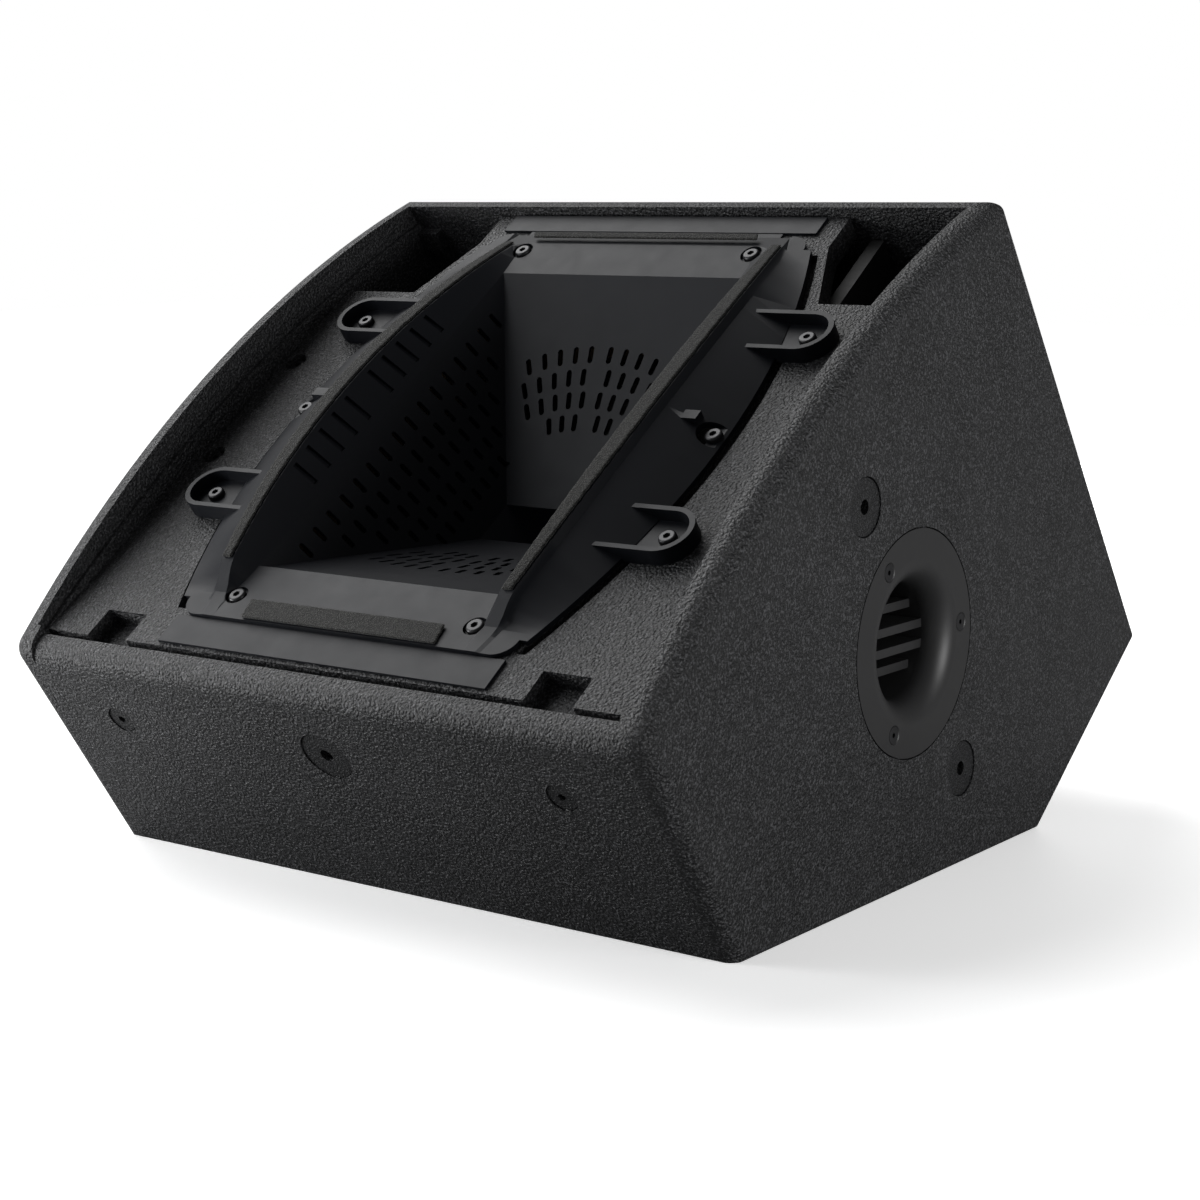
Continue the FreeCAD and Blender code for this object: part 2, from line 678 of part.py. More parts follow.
def horn_body():
    wires = []
    for u in BODY_STATIONS:
        top = rail_n(u)
        foot = BAFFLE_FACE + 3.0
        shoulder = max(foot + 0.5, top - 4.0)
        points = [(body_edge(u), BAFFLE_FACE + 0.2), (body_edge(u), foot), (rail_outer(u) + 3.0, shoulder),
                  (rail_outer(u), top), (rail_outer(u) - 4, top)]
        wires.append(section(u, points))
    body = skin(wires)
    radius = 13.0
    for su, u_corner in ((1, BODY_MID_U - BODY_HALF_U), (-1, BODY_MID_U + BODY_HALF_U)):
        x_corner = body_edge(u_corner)
        for sx in (-1, 1):
            centre = (sx * (x_corner - radius), u_corner + su * radius)
            low_x, high_x = sorted((centre[0], sx * (x_corner + 5)))
            low_u, high_u = sorted((u_corner - su * 2, centre[1]))
            corner = box(low_x, high_x, low_u, high_u, -5, 40)
            corner = corner.cut(rod(centre[0], centre[1], -6, 41, radius))
            body = body.cut(corner)
    return body


def mouth_cutter():
    """Everything inside the rails and above the two end plates."""
    wires = []
    for u in MOUTH_STATIONS:
        low = plate_n(u)
        top = max(rail_n(u) + 0.4, low + 1.2)
        wide = rail_inner(u)
        points = [(MOUTH_HALF_X + 1.5 * (1 - rail_blend(u)), low), (wide, top), (wide, top + 25)]
        wires.append(section(u, points))
    return skin(wires)


def plate_n(u):
    """Height of the mouth's end plates; between them the cutter only has to reach the straight walls."""
    if u > MOUTH_TOP_U:
        return MOUTH_N + (u - MOUTH_TOP_U) * 0.085
    if u < MOUTH_LOW_U:
        return MOUTH_N + (MOUTH_LOW_U - u) * 0.035
    return MOUTH_N


def rectangle(x, u0, u1, n):
    return [V(-x, u0, n), V(x, u0, n), V(x, u1, n), V(-x, u1, n)]


def funnel(grow):
    """Straight walls from mouth to throat, as a solid, grown outwards by a wall thickness."""
    mouth = rectangle(MOUTH_HALF_X + grow, MOUTH_LOW_U - grow, MOUTH_TOP_U + grow, MOUTH_N)
    half_u = THROAT_HALF_U + grow
    throat = rectangle(THROAT_HALF_X + grow, DRIVER_U - half_u, DRIVER_U + half_u, THROAT_N)
    return skin([mouth, throat])


def neck(half_x, half_u, radius, end_n):
    """Transition from the rectangular end of the walls to the round throat."""
    corners = rectangle(half_x, DRIVER_U - half_u, DRIVER_U + half_u, THROAT_N)
    rect = Part.makePolygon(corners + [corners[0]])
    circle = Part.Wire([Part.makeCircle(radius, V(0, DRIVER_U, end_n), V(0, 0, 1))])
    return Part.makeLoft([rect, circle], True, False)


def obround(length, width, depth):
    """Slot cutter centred on the origin, long along x, deep along z."""
    straight = length - width
    bar = Part.makeBox(straight, width, depth, V(-straight / 2, -width / 2, -depth / 2))
    ends = [Part.makeCylinder(width / 2, depth, V(s * straight / 2, 0, -depth / 2)) for s in (-1, 1)]
    return bar.fuse(ends).removeSplitter()


FAN_TOP_N = -24.6             # height of the first row of slots in the end walls


def wall_slots():
    """Cutters for the rows of slots that let the woofer breathe through the horn's walls."""
    cutters = []
    slope_u = (MOUTH_TOP_U - DRIVER_U - THROAT_HALF_U) / (MOUTH_N - THROAT_N)
    slope_x = (MOUTH_HALF_X - THROAT_HALF_X) / (MOUTH_N - THROAT_N)
    # end walls: arched, fanned rows
    run = math.hypot(1, slope_u)
    fan_radius = 141.0
    slot = obround(11.0, 3.8, 16)
    for row, count in enumerate((5, 5, 5, 3)):
        radius = fan_radius - 14.6 * row
        for k in range(count):
            for side in (-1, 1):
                offset = (7.2 + 11.4 * k) * (1 - 0.06 * row) + (2.5 if row % 2 else 0)
                angle = math.asin(offset / radius)
                down = fan_radius - radius * math.cos(angle)
                n_here = FAN_TOP_N - down / run
                for end in (-1, 1):
                    wall_u = DRIVER_U + end * (THROAT_HALF_U + (n_here - THROAT_N) * slope_u)
                    along = V(0, end * slope_u, 1)
                    along.normalize()
                    across = V(1, 0, 0)
                    normal = across.cross(along)
                    direction = along * math.cos(angle) + across * (side * math.sin(angle))
                    frame = FreeCAD.Rotation(direction, normal.cross(direction), normal, "XZY")
                    cutter = slot.copy()
                    cutter.Placement = FreeCAD.Placement(V(side * offset, wall_u, n_here), frame)
                    cutters.append(cutter)
    # side walls: rows parallel to the rails
    rows = ((-10.0, 11.0, 14.6, 8), (-24.0, 10.0, 13.0, 7), (-37.0, 10.0, 12.0, 6),
            (-50.0, 9.0, 11.0, 5), (-63.0, 9.0, 10.5, 4))
    for n_here, length, pitch, count in rows:
        small = obround(length, 3.6, 12)
        for k in range(count):
            for end in (-1, 1):
                u = DRIVER_U + end * pitch * (k + 0.5)
                for side in (-1, 1):
                    wall_x = side * (THROAT_HALF_X + (n_here - THROAT_N) * slope_x)
                    along = V(side * slope_x, 0, 1)
                    along.normalize()
                    across = V(0, 1, 0)
                    cutter = small.copy()
                    frame = FreeCAD.Rotation(along, across, along.cross(across), "XZY")
                    cutter.Placement = FreeCAD.Placement(V(wall_x, u, n_here), frame)
                    cutters.append(cutter)
    return cutters


def rail_slots():
    """Long slots in the flared lips of the side walls, in two groups of five."""
    cutters = []
    for first in (151.0, 237.0):
        for k in range(5):
            u = first + 15.0 * k
            low_n, high_n = MOUTH_N + 5.0, rail_n(u) - 3.5
            for side in (-1, 1):
                x_low = MOUTH_HALF_X + (rail_inner(u) - MOUTH_HALF_X) * 5.0 / (rail_n(u) - MOUTH_N)
                shape = Part.makePolygon([V(side * (x_low - 3.5), u - 1.8, low_n + 1),
                                          V(side * (x_low + 1.0), u - 1.8, low_n - 1.5),
                                          V(side * (rail_inner(u) + 0.8), u - 1.8, high_n - 0.5),
                                          V(side * (rail_inner(u) - 4.0), u - 1.8, high_n + 2),
                                          V(side * (x_low - 3.5), u - 1.8, low_n + 1)])
                cutters.append(Part.Face(shape).extrude(V(0, 3.6, 0)))
    return cutters


LUG_R = 17.5
LUG_TOP = 12.0
LUG_FLOOR = 4.0


def lug_outline(side, u, radius):
    """Tongue from inside the body out to a round end, as a face at n = 0."""
    x_end = side * 166.0
    x_in = side * 112.0
    top = Part.makeLine(V(x_in, u + radius, 0), V(x_end, u + radius, 0))
    tip = V(x_end + side * radius, u, 0)
    nose = Part.Arc(V(x_end, u + radius, 0), tip, V(x_end, u - radius, 0)).toShape()
    low = Part.makeLine(V(x_end, u - radius, 0), V(x_in, u - radius, 0))
    back = Part.makeLine(V(x_in, u - radius, 0), V(x_in, u + radius, 0))
    return Part.Face(Part.Wire([top, nose, low, back]))


def lifted(face, n0, n1):
    solid = face.extrude(V(0, 0, n1 - n0))
    solid.translate(V(0, 0, n0))
    return solid


def horn_plates():
    """Flat flanges above and below the body, each joined to it by a lower bridge."""
    low, top = BAFFLE_FACE + 0.2, BAFFLE_FACE + 1.8
    bridge = BAFFLE_FACE + 1.4
    return [box(-PLATE_HALF_X, PLATE_HALF_X, 17.0, 38.2, low, top),
            box(-96, 96, 36.0, 42.0, low, bridge),
            box(-PLATE_HALF_X, PLATE_HALF_X, 409.5, 426.0, low, top),
            box(-96, 96, 402.0, 411.0, low, bridge)]


def horn():
    body = horn_body()
    lugs = []
    trays = []
    for x, u in LUGS:
        side = 1 if x > 0 else -1
        lugs.append(lifted(lug_outline(side, u, LUG_R), BAFFLE_FACE + 0.2, LUG_TOP))
        trays.append(lifted(lug_outline(side, u, LUG_R - 3.2), LUG_FLOOR, LUG_TOP + 30).cut(body))
    for x, u in MID_SCREWS:
        low, high = sorted((x * 0.74, x * 0.94))
        lugs.append(box(low, high, 219, 226, BAFFLE_FACE + 2, 17.5))
    outer_neck = neck(THROAT_HALF_X + HORN_WALL, THROAT_HALF_U + HORN_WALL, NECK_R + 4, NECK_N)
    solid = body
    for piece in lugs + horn_plates() + [funnel(HORN_WALL), outer_neck]:
        solid = solid.fuse(piece)
    cutters = trays + [mouth_cutter(), funnel(0), neck(THROAT_HALF_X, THROAT_HALF_U, NECK_R, NECK_N)]
    for cutter in cutters + under_body_cutter():
        solid = solid.cut(cutter)
    holes = []
    for x, u in LUGS:
        holes.append(rod(x, u, BAFFLE_FACE - 1, 20, 3.1))
    for x, u in MOUTH_SCREWS:
        holes.append(rod(x, u, plate_n(u) - 2.2, 30, 7.0))
        holes.append(rod(x, u, -5, 20, 3.1))
    for x, u in MID_SCREWS:
        holes.append(rod(x, u, BAFFLE_FACE + 4.0, 30, 9.0))
        holes.append(rod(x, u, -5, 20, 3.1))
    for hole in holes:
        solid = solid.cut(hole)
    solid = solid.cut(rail_slots())
    solid = solid.cut(wall_slots())
    return on_face(max(solid.Solids, key=lambda s: s.Volume))


def under_body_cutter():
    """Room under the rails on each side, so that the body is a shell about 3 mm thick."""
    wires = []
    for u in [v for v in BODY_STATIONS if 64 < v < 380]:
        roof = rail_n(u) - 3.4
        outer_low = body_edge(u) - 6.0
        inner_low = MOUTH_HALF_X + HORN_WALL
        inner_top = max(inner_low + 0.8, rail_inner(u) + 2.6)
        outer_top = max(inner_top + 2, rail_outer(u) - 1.5)
        edge_n = BAFFLE_FACE + 2.2
        points = [V(inner_low, u, -3), V(outer_low, u, -3), V(outer_low, u, edge_n),
                  V(outer_top, u, roof - 2.0), V(inner_top, u, roof)]
        wires.append(points)
    right = skin(wires)
    return [right, mirrored_x(right)]


def foam_rail(side):
    """Gasket strip along the crest of one side rail."""
    wires = []
    for u in (75.0,) + tuple(v for v in BODY_STATIONS if 75 < v < 392) + (392.0,):
        inner = faceted(rail_inner, u) + 0.8
        outer = faceted(rail_outer, u) - 0.8
        low = faceted(rail_n, u) + 0.1
        points = [V(side * inner, u, low), V(side * outer, u, low), V(side * outer, u, low + STRIP_T),
                  V(side * inner, u, low + STRIP_T)]
        wires.append(points)
    return on_face(skin(wires))


def foam_end(u0, u1, x):
    low = plate_n((u0 + u1) / 2) + 0.35
    points = [V(-x - 3, u1, 0), V(x, u1, 0), V(x + 2.5, u0, 0), V(-x, u0, 0)]
    outline = Part.makePolygon(points + [points[0]])
    return on_face(lifted(Part.Face(outline), low, low + STRIP_T))


# ---------------------------------------------------------------- fasteners on the front
def front_screws(places, under_head, length, head_r=5.25, head_h=3.3, shank_r=2.95):
    sizes = (under_head, head_r, head_h, shank_r, length, 2.3)
    return [on_face(hex_socket_screw(x, u, *sizes)) for x, u in places]


# ---------------------------------------------------------------- woofer
RING_BACK = BAFFLE_BACK - SPACER_T
CARRIER_BACK = RING_BACK - CARRIER_T
GASKET_T = 1.5
FRAME_N = CARRIER_BACK - GASKET_T      # front of the basket flange
LEDGE_N = FRAME_N - 5.0                # surround is glued here
CONE_OUTER_R = 119.3
CONE_RIM_N = FRAME_N - 6.0
CONE_DEPTH = 61.0
SPIDER_N = FRAME_N - 80.0
SPIDER_R = 84.0
BASKET_BACK = FRAME_N - 92.0
PLATE_T = 8.0
MAGNET_T = 26.0
YOKE_T = 10.0
YOKE_BACK = BASKET_BACK - PLATE_T - MAGNET_T - YOKE_T
POLE_R = 37.2
GAP_R = 40.2


def bolt_ring(count, pcd, first=0.0):
    places = []
    for k in range(count):
        angle = math.radians(first + 360 / count * k)
        places.append((pcd / 2 * math.cos(angle), DRIVER_U + pcd / 2 * math.sin(angle)))
    return places


def with_bolt_holes(shape, n0, n1, radius=3.0):
    return shape.cut([rod(x, u, n0, n1, radius) for x, u in bolt_ring(WOOFER_BOLTS, BOLT_PCD, 22.5)])


def spacer_ring():
    return on_face(ring(0, DRIVER_U, RING_BACK, BAFFLE_BACK, SPACER_OUT_R, SPACER_IN_R))


def woofer_carrier():
    plate = ring(0, DRIVER_U, CARRIER_BACK, RING_BACK, SPACER_OUT_R, CARRIER_IN_R)
    return on_face(with_bolt_holes(plate, CARRIER_BACK - 1, RING_BACK + 1))


def woofer_gasket():
    plate = ring(0, DRIVER_U, FRAME_N, CARRIER_BACK, BASKET_R - 1, 143.0)
    return on_face(with_bolt_holes(plate, FRAME_N - 1, CARRIER_BACK + 1))


def woofer_basket():
    n0 = FRAME_N
    shell = turned([(143, n0), (BASKET_R, n0), (BASKET_R, n0 - 5), (146.5, n0 - 5),
                    (121, n0 - 46), (88, n0 - 76), (88, BASKET_BACK),
                    (GAP_R + 1, BASKET_BACK), (GAP_R + 1, BASKET_BACK + 4),
                    (SPIDER_R, BASKET_BACK + 4), (SPIDER_R, n0 - 73),
                    (117, n0 - 42), (137, n0 - 9), (137, LEDGE_N), (143, LEDGE_N)])
    window = prism_xu([(92, DRIVER_U - 17), (150, DRIVER_U - 31),
                       (150, DRIVER_U + 31), (92, DRIVER_U + 17)],
                      n0 - 71, n0 - 13)
    cutters = []
    for k in range(6):
        turned_window = window.copy()
        turned_window.rotate(V(0, DRIVER_U, 0), V(0, 0, 1), 60 * k + 30)
        cutters.append(turned_window)
    return on_face(with_bolt_holes(shell.cut(cutters), n0 - 12, n0 + 1))


def woofer_surround():
    def at(radius, n):
        return V(radius, DRIVER_U, n)

    low, top = LEDGE_N, LEDGE_N + 1.0
    outline = Part.Wire([
        Part.makeLine(at(142.6, top), at(138.0, top)),
        Part.Arc(at(138.0, top), at(130.5, top + 7.5), at(123.0, top)).toShape(),
        Part.makeLine(at(123.0, top), at(119.6, top - 1.6)),
        Part.makeLine(at(119.6, top - 1.6), at(119.6, top - 2.8)),
        Part.makeLine(at(119.6, top - 2.8), at(124.0, low)),
        Part.Arc(at(124.0, low), at(130.5, low + 6.5), at(137.0, low)).toShape(),
        Part.makeLine(at(137.0, low), at(142.6, low)),
        Part.makeLine(at(142.6, low), at(142.6, top))])
    return on_face(Part.Face(outline).revolve(V(0, DRIVER_U, 0), V(0, 0, 1), 360))


def woofer_cone():
    neck_n = CONE_RIM_N - CONE_DEPTH
    outline = [(CONE_OUTER_R, CONE_RIM_N), (96.0, CONE_RIM_N - 14.5), (COIL_R + 0.6, neck_n),
               (COIL_R + 0.6, neck_n - 1.8), (96.0, CONE_RIM_N - 16.0), (CONE_OUTER_R, CONE_RIM_N - 1.3)]
    return on_face(turned(outline))


def voice_coil_former():
    top = CONE_RIM_N - CONE_DEPTH + 3.0
    return on_face(ring(0, DRIVER_U, BASKET_BACK - PLATE_T - 6.0, top, COIL_R + 0.4, COIL_R))


def voice_coil():
    middle = BASKET_BACK - PLATE_T / 2
    return on_face(ring(0, DRIVER_U, middle - 8.0, middle + 8.0, COIL_R + 1.3, COIL_R + 0.4))


def woofer_spider():
    """Corrugated centring disc between former and basket."""
    inner = COIL_R + 0.4
    waves = 5
    pitch = (SPIDER_R - inner - 6.0) / waves
    upper = [(inner, SPIDER_N)]
    for k in range(waves):
        upper.append((inner + 3 + pitch * (k + 0.25), SPIDER_N + 1.6))
        upper.append((inner + 3 + pitch * (k + 0.75), SPIDER_N - 1.6))
    upper.append((SPIDER_R, SPIDER_N))
    lower = [(r, n - 0.8) for r, n in reversed(upper)]
    return on_face(turned(upper + lower))


def woofer_front_plate():
    return on_face(ring(0, DRIVER_U, BASKET_BACK - PLATE_T, BASKET_BACK, 75.0, GAP_R))


def woofer_magnet():
    top = BASKET_BACK - PLATE_T
    return on_face(ring(0, DRIVER_U, top - MAGNET_T, top, 80.0, 47.0))


def woofer_yoke():
    """Back plate and pole in one, bored for the horn throat."""
    inner_floor = YOKE_BACK + YOKE_T
    section = [(POLE_BORE_R, YOKE_BACK), (76.0, YOKE_BACK), (76.0, inner_floor), (POLE_R - 2, inner_floor),
               (POLE_R - 2, BASKET_BACK - PLATE_T - 4), (POLE_R, BASKET_BACK - PLATE_T - 1),
               (POLE_R, BASKET_BACK), (POLE_BORE_R, BASKET_BACK)]
    return on_face(turned(section).cut(hf_bolt_holes()))


def woofer_bolts():
    places = bolt_ring(WOOFER_BOLTS, BOLT_PCD, 22.5)
    bolts = []
    for x, u in places:
        head = hex_bar(x, u, FRAME_N - 9.5, FRAME_N - 5.0, 4.6)
        bolts.append(on_face(head.fuse(rod(x, u, FRAME_N - 5.0, RING_BACK, 2.5)).removeSplitter()))
    return bolts


# ---------------------------------------------------------------- compression driver behind the woofer
HF_FRONT = YOKE_BACK
HF_PLATE_T = 8.0
HF_MAGNET_T = 18.0
HF_TOP_T = 6.0
HF_GAP_N = HF_FRONT - HF_PLATE_T - HF_MAGNET_T
HF_BACK = HF_GAP_N - HF_TOP_T
HF_COIL_R = 31.7
HF_BOLT_R = 63.0


def throat_tube():
    return on_face(ring(0, DRIVER_U, HF_FRONT, NECK_N - 0.2, NECK_R + 4, NECK_R))


def hf_bolt_places():
    return [(s * HF_BOLT_R, DRIVER_U) for s in (-1, 1)] + [(0, DRIVER_U + s * HF_BOLT_R) for s in (-1, 1)]


def hf_bolt_holes():
    return [rod(x, u, HF_FRONT - HF_PLATE_T - 1, HF_FRONT + 8, 3.1) for x, u in hf_bolt_places()]


def hf_front_plate():
    return on_face(ring(0, DRIVER_U, HF_FRONT - HF_PLATE_T, HF_FRONT, 70.0, NECK_R).cut(hf_bolt_holes()))


def hf_magnet():
    top = HF_FRONT - HF_PLATE_T
    return on_face(ring(0, DRIVER_U, top - HF_MAGNET_T, top, 56.0, 36.0))


def hf_pole():
    top = HF_FRONT - HF_PLATE_T
    return on_face(turned([(19.0, top), (29.5, top), (30.9, HF_GAP_N), (30.9, HF_BACK), (27.5, HF_BACK),
                           (22.0, HF_BACK + 10)]))


def hf_top_plate():
    return on_face(ring(0, DRIVER_U, HF_BACK, HF_GAP_N, 54.0, 33.1))


def hf_phase_plug():
    """Bullet in the throat, held by three thin fins."""
    bullet = turned([(0, HF_FRONT - 4), (9.0, HF_FRONT - 16), (18.5, HF_BACK), (0, HF_BACK)])
    fins = []
    for k in range(3):
        fin = box(4.0, 20.5, DRIVER_U - 0.8, DRIVER_U + 0.8, HF_BACK + 11, HF_FRONT - HF_PLATE_T - 3)
        fin.rotate(V(0, DRIVER_U, 0), V(0, 0, 1), 120 * k)
        fins.append(fin)
    top = HF_FRONT - HF_PLATE_T
    bore = turned([(0, top), (19.0, top), (22.0, HF_BACK + 10), (0, HF_BACK + 10)])
    return on_face(bullet.fuse([f.common(bore) for f in fins]).removeSplitter())


def hf_diaphragm():
    """Dome with its coil former, the dome drawn as a chain of short cones."""
    rim = HF_BACK - 1.2
    steps = 8
    upper = []
    for k in range(steps + 1):
        radius = HF_COIL_R * k / steps
        upper.append((radius, rim - 9.0 * (1 - (k / steps) ** 2)))
    lower = [(HF_COIL_R + 0.5, rim + 6.0), (HF_COIL_R + 0.5, rim - 0.5)]
    for k in range(steps - 1, -1, -1):
        radius = HF_COIL_R * k / steps
        lower.append((radius, rim - 0.6 - 9.0 * (1 - (k / steps) ** 2)))
    return on_face(turned(upper + [(HF_COIL_R, rim + 6.0)] + lower))


def hf_edge_ring():
    """Clamped edge of the diaphragm suspension."""
    rim = HF_BACK
    return on_face(ring(0, DRIVER_U, rim - 0.6, rim, 46.0, HF_COIL_R + 1.0))


def hf_rear_cover():
    n0 = HF_BACK - 0.6
    return on_face(turned([(50.0, n0), (50.0, n0 - 17), (46.0, n0 - 21), (0, n0 - 21), (0, n0 - 18),
                           (42.0, n0 - 18), (42.0, n0 - 2), (46.5, n0 - 2), (46.5, n0)]))


def hf_bolts():
    """Hexagon bolts that hold the compression driver to the woofer's back plate."""
    under_head = HF_FRONT - HF_PLATE_T
    bolts = []
    for x, u in hf_bolt_places():
        head = hex_bar(x, u, under_head - 4.5, under_head, 5.5)
        bolts.append(on_face(head.fuse(rod(x, u, under_head, HF_FRONT + 7, 3.0)).removeSplitter()))
    return bolts


# ---------------------------------------------------------------- connectors and crossover
SOCKET_X = 26.0
SOCKET_BARREL_R = 12.0


def connector_plate():
    half_x, half_up = REAR_PLATE[0] / 2, REAR_PLATE[1] / 2
    plate = rear_box(-half_x, half_x, -half_up, half_up, -3.0, 0.0)
    holes = [rear_rod(s * SOCKET_X, 0, -5, 1, SOCKET_BARREL_R + 0.3) for s in (-1, 1)]
    for x, up in plate_screw_places():
        holes.append(rear_rod(x, up, -5, 1, 2.0))
    for x, up in socket_screw_places():
        holes.append(rear_rod(x, up, -5, 1, 1.6))
    return on_profile(plate.cut(holes))


def plate_screw_places():
    return [(sx * 55.0, su * 37.0) for sx in (-1, 1) for su in (-1, 1)]


def socket_screw_places():
    return [(side * SOCKET_X + corner * 12.0, corner * 12.0) for side in (-1, 1) for corner in (-1, 1)]


def socket(side):
    """Round locking loudspeaker socket: square flange, barrel and keyed centre."""
    x = side * SOCKET_X
    flange = rear_box(x - 15.5, x + 15.5, -15.5, 15.5, 0.0, 2.5)
    barrel = rear_rod(x, 0, -30, 2.5, SOCKET_BARREL_R)
    well = rear_rod(x, 0, -22, 4, 10.0)
    core = rear_rod(x, 0, -24, 1.5, 6.2)
    body = flange.fuse(barrel).cut(well).fuse(core)
    notches = [rear_box(x - 1.2, x + 1.2, 4.2, 7.5, -18, 3), rear_box(x - 1.2, x + 1.2, -7.5, -4.2, -18, 3)]
    holes = [rear_rod(sx, up, -1, 4, 1.6) for sx, up in socket_screw_places() if abs(sx - x) < 15]
    return on_profile(body.cut(notches + holes).removeSplitter())


def small_screws(places, face):
    solids = []
    screw = Part.makeCylinder(2.8, 1.8).fuse(Part.makeCylinder(1.45, 12, V(0, 0, -12)))
    screw = screw.cut(Part.makeBox(4.4, 0.8, 1.2, V(-2.2, -0.4, 1.0)))
    screw = screw.cut(Part.makeBox(0.8, 4.4, 1.2, V(-0.4, -2.2, 1.0)))
    for x, up in places:
        solids.append(on_profile(aimed(screw.removeSplitter(), rear_frame(x, up, face), REAR_OUT)))
    return solids


BOARD = (82.0, 182.0, 205.0, 318.0)      # crossover board: x range, then Y range in the profile frame
BOARD_Z = PLY + 10.0


def crossover_board():
    board = Part.makeBox(BOARD[1] - BOARD[0], BOARD[3] - BOARD[2], 1.6, V(BOARD[0], BOARD[2], BOARD_Z))
    holes = [Part.makeCylinder(1.8, 6, V(x, y, BOARD_Z - 2)) for x, y in board_corners()]
    return on_profile(board.cut(holes))


def board_corners():
    return [(x, y) for x in (BOARD[0] + 6, BOARD[1] - 6) for y in (BOARD[2] + 6, BOARD[3] - 6)]


def board_standoffs():
    solids = []
    for x, y in board_corners():
        post = Part.makeCylinder(3.5, BOARD_Z - PLY, V(x, y, PLY))
        solids.append(on_profile(post.cut(Part.makeCylinder(1.5, 8, V(x, y, BOARD_Z - 8)))))
    return solids


def inductors():
    solids = []
    top = BOARD_Z + 1.6
    for x, y, radius, height in ((112, 240, 20, 22), (152, 236, 15, 18)):
        coil = Part.makeCylinder(radius, height, V(x, y, top))
        core = Part.makeCylinder(radius * 0.42, height, V(x, y, top))
        solids.append(on_profile(coil.cut(core)))
    return solids


def capacitors():
    top = BOARD_Z + 1.6
    places = ((100, 272, 7.5), (100, 294, 7.5), (128, 300, 6.0))
    return [on_profile(Part.makeCylinder(r, 34, V(x, y, top + r), V(1, 0, 0))) for x, y, r in places]


def resistors():
    top = BOARD_Z + 1.6
    return [on_profile(Part.makeBox(25, 9, 9, V(146, y, top))) for y in (262, 278)]


# ---------------------------------------------------------------- write every node
def main():
    write("side_panel_left", on_profile(side_panel(-1)))
    write("side_panel_right", on_profile(side_panel(1)))
    write("kick_panel", on_profile(kick_panel()))
    write("bottom_panel", on_profile(bottom_panel()))
    write("rear_panel", on_profile(rear_panel()))
    write("top_panel", on_profile(top_panel()))
    write("baffle_board", baffle())
    for name, side in (("left", -1), ("right", 1)):
        write("port_wall_" + name, port_wall(side))
        write("handle_" + name, handle(side))
        write("foam_strip_" + name, foam_rail(side))
    write_group("baffle_cleats", [cleat(-1), cleat(1)])
    write_group("grille_blocks", [grille_block(-1), grille_block(1)])
    write("cross_brace", cross_brace())
    write("damping_pad_bottom", bottom_pad())
    write_group("damping_pads_rear", rear_pads())
    write_group("rigging_inserts", rigging_inserts())
    write_group("accessory_inserts", accessory_inserts())
    write_group("handle_screws", handle_screws())
    write("horn", horn())
    write("foam_strip_top", foam_end(395.5, 401.5, 84.0))
    write("foam_strip_bottom", foam_end(40.0, 54.5, 69.5))
    mouth_screws = [front_screws([(x, u)], plate_n(u) - 2.2, 18)[0] for x, u in MOUTH_SCREWS]
    write_group("horn_mouth_screws", mouth_screws)
    write_group("horn_lug_screws", front_screws(LUGS, LUG_FLOOR, 16))
    write_group("horn_side_screws", front_screws(MID_SCREWS, BAFFLE_FACE + 4.0, 16))
    write_group("baffle_screws", front_screws(FIX_SCREWS, BAFFLE_FACE - 5.0, 18, 4.6, 2.8, WOOD_SCREW_R))
    write("woofer_spacer_ring", spacer_ring())
    write("woofer_carrier", woofer_carrier())
    write("woofer_gasket", woofer_gasket())
    write("woofer_basket", woofer_basket())
    write("woofer_surround", woofer_surround())
    write("woofer_cone", woofer_cone())
    write("voice_coil_former", voice_coil_former())
    write("voice_coil", voice_coil())
    write("woofer_spider", woofer_spider())
    write("woofer_front_plate", woofer_front_plate())
    write("woofer_magnet", woofer_magnet())
    write("woofer_yoke", woofer_yoke())
    write_group("woofer_bolts", woofer_bolts())
    write("throat_tube", throat_tube())
    write("hf_front_plate", hf_front_plate())
    write("hf_magnet", hf_magnet())
    write("hf_pole", hf_pole())
    write("hf_top_plate", hf_top_plate())
    write("hf_phase_plug", hf_phase_plug())
    write("hf_diaphragm", hf_diaphragm())
    write("hf_edge_ring", hf_edge_ring())
    write("hf_rear_cover", hf_rear_cover())
    write_group("hf_bolts", hf_bolts())
    write("connector_plate", connector_plate())
    write("connector_socket_left", socket(-1))
    write("connector_socket_right", socket(1))
    plate_screws = small_screws(plate_screw_places(), 0.0)
    write_group("connector_screws", plate_screws + small_screws(socket_screw_places(), 2.5))
    write("crossover_board", crossover_board())
    write_group("crossover_standoffs", board_standoffs())
    write_group("crossover_inductors", inductors())
    write_group("crossover_capacitors", capacitors())
    write_group("crossover_resistors", resistors())
    for row in WRITTEN:
        print(*row)
    print(len(WRITTEN), "nodes, shift", round(SHIFT_Y, 3), "angle", round(FACE_ANGLE, 3))


main()
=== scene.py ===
"""Looks for the stage monitor: materials, foam, floor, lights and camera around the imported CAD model."""

import json
import math

